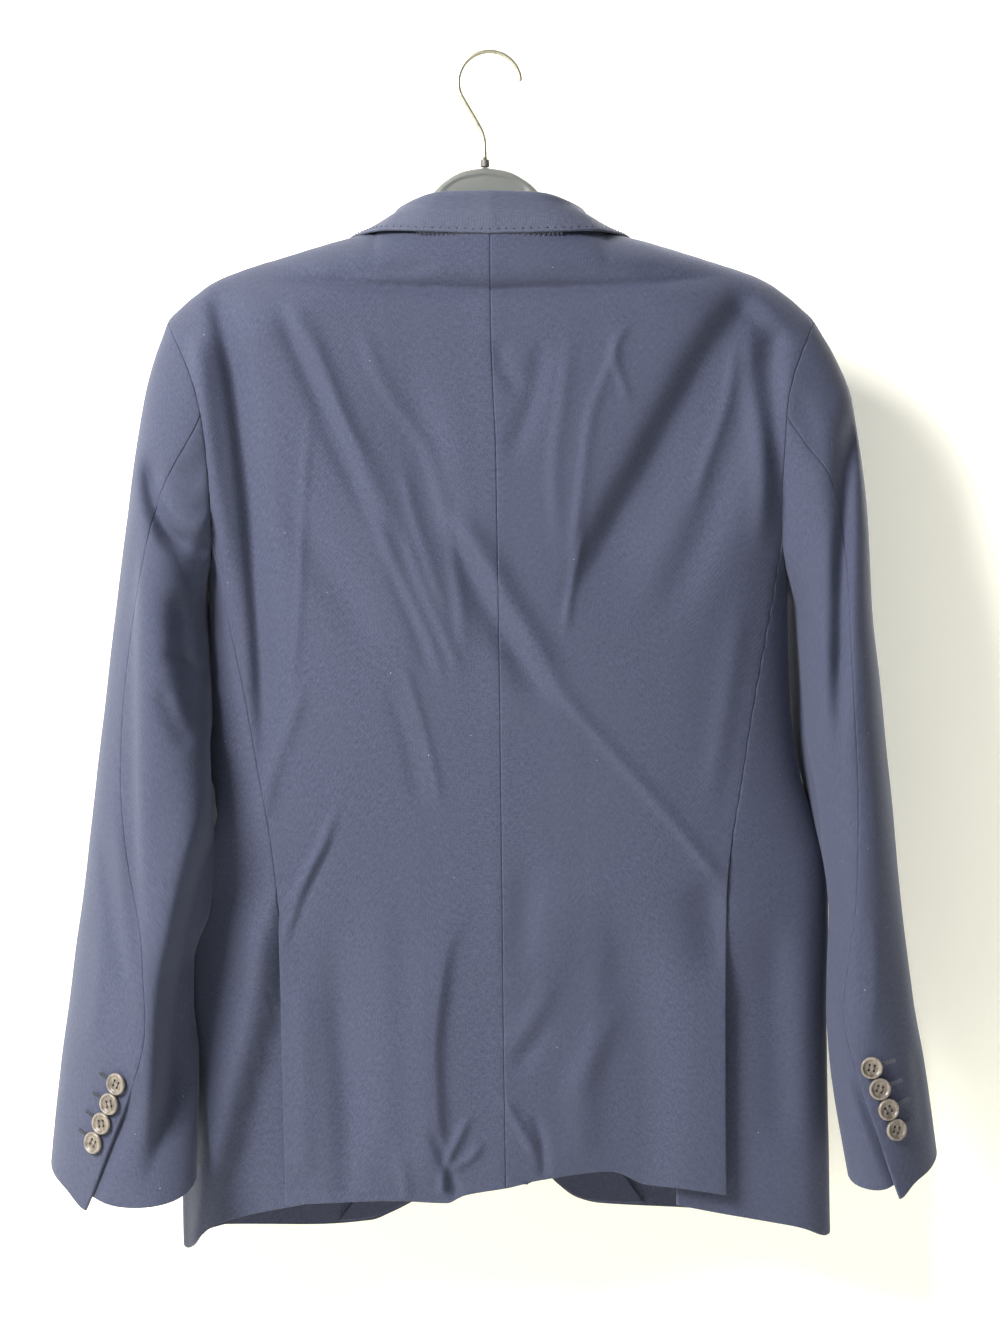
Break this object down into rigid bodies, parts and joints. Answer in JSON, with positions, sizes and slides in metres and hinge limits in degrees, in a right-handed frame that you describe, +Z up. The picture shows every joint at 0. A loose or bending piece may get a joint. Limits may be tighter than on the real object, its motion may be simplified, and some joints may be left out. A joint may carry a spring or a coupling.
{
  "type": "single breasted blazer on a hanger",
  "caption": "Navy tailored blazer with notch lapels, side vents and buttoned cuffs, hanging open at hem, cuffs and neck from a plastic hanger with a wire hook.",
  "frame": {"origin": "inside top of the hanger's hook, where it rests on the rail or peg that carries it", "axes": "+Z up; the back of the blazer faces -Y and its fronts face +Y; +X is the wearer's right"},
  "size_m": [0.6243, 0.1499, 0.848],
  "materials": {
    "cloth": "fine navy wool weave with a soft nap",
    "facing": "the same navy cloth, turned inside the fronts and out as lapels",
    "horn": "satin taupe horn",
    "plastic": "satin black moulded plastic",
    "steel": "polished plated wire"
  },
  "bodies": {
    "root": {"back_left": "cloth", "back_right": "cloth", "breast_welt": "cloth", "collar": "cloth", "cuff_button_left_1": "horn", "cuff_button_left_2": "horn", "cuff_button_left_3": "horn", "cuff_button_left_4": "horn", "cuff_button_right_1": "horn", "cuff_button_right_2": "horn", "cuff_button_right_3": "horn", "cuff_button_right_4": "horn", "facing_left": "facing", "facing_right": "facing", "front_button_1": "horn", "front_button_2": "horn", "front_left": "cloth", "front_right": "cloth", "hanger": "plastic", "hanger_hook": "steel", "hook_ferrule": "steel", "pocket_flap_left": "cloth", "pocket_flap_right": "cloth", "side_left": "cloth", "side_right": "cloth", "top_sleeve_left": "cloth", "top_sleeve_right": "cloth", "under_sleeve_left": "cloth", "under_sleeve_right": "cloth"}
  },
  "joints": []
}
